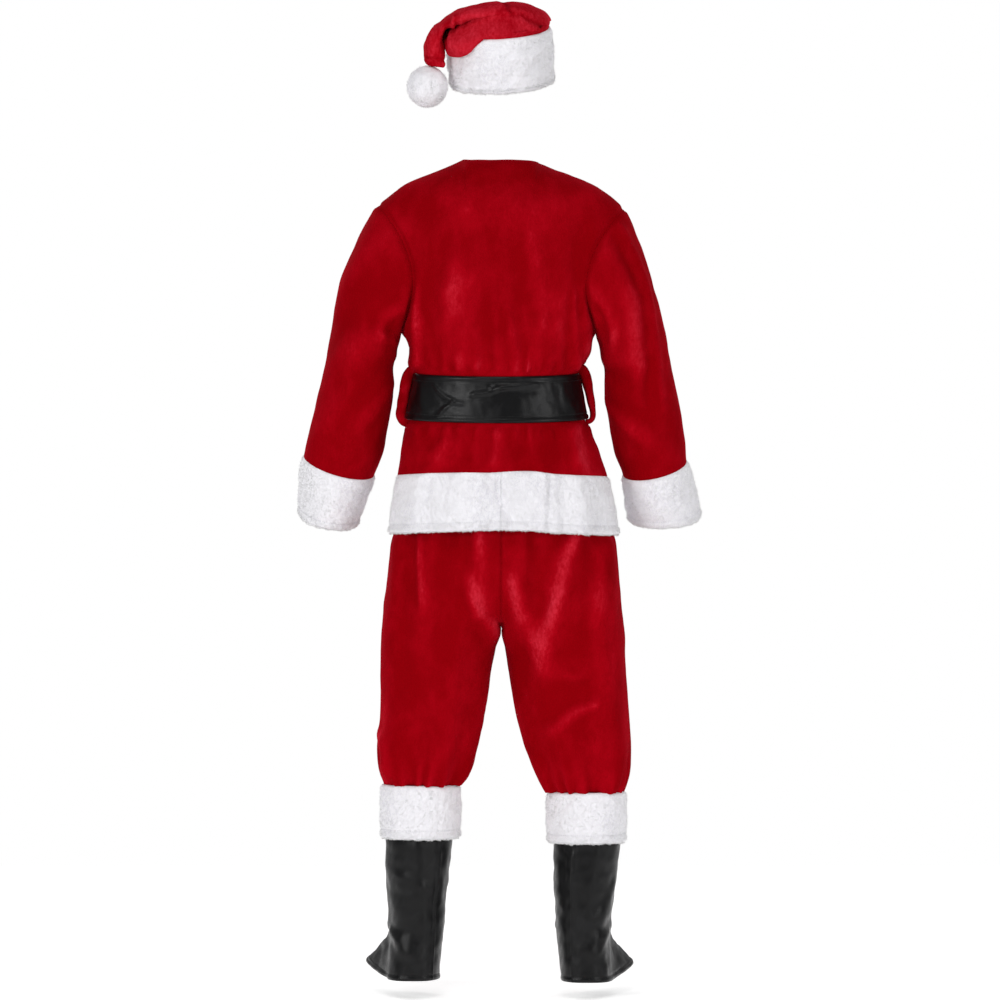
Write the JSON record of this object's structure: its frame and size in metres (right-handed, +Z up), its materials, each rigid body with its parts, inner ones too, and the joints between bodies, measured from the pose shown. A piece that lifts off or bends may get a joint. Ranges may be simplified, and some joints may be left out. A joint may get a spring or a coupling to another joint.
{
  "type": "santa suit",
  "caption": "Worn, hollow santa suit: red plush jacket, trousers and hat with white fur trim, wide black belt with a frame buckle, and black boot covers.",
  "frame": {"origin": "where the wearer's shoulders hold the suit: mid-line, 1.55 m above the ground the wearer stands on, level with the base of the neck", "axes": "+Z up, -Y towards the front of the wearer, +X towards the wearer's left"},
  "size_m": [0.7573, 0.3322, 1.8283],
  "materials": {
    "red_plush": "short napped red plush with a soft sheen",
    "white_fur": "white fake fur with a short soft pile",
    "black_pvc": "black vinyl cloth, half matte, with piped edges on the belt",
    "buckle_metal": "plain yellow metal, satin"
  },
  "bodies": {
    "root": {"jacket_back": "red_plush", "jacket_front_left": "red_plush", "jacket_front_right": "red_plush", "sleeve_left": "red_plush", "sleeve_right": "red_plush", "belt_loop_left": "red_plush", "belt_loop_right": "red_plush", "trouser_back_left": "red_plush", "trouser_back_right": "red_plush", "trouser_front_left": "red_plush", "trouser_front_right": "red_plush", "waistband": "red_plush", "hat_crown": "red_plush", "hem_trim_left": "white_fur", "hem_trim_right": "white_fur", "sleeve_cuff_left": "white_fur", "sleeve_cuff_right": "white_fur", "leg_cuff_left": "white_fur", "leg_cuff_right": "white_fur", "hat_band": "white_fur", "pompom": "white_fur", "belt_strap": "black_pvc", "boot_cover_left": "black_pvc", "boot_cover_right": "black_pvc", "buckle_frame": "buckle_metal", "buckle_prong": "buckle_metal"}
  },
  "joints": []
}
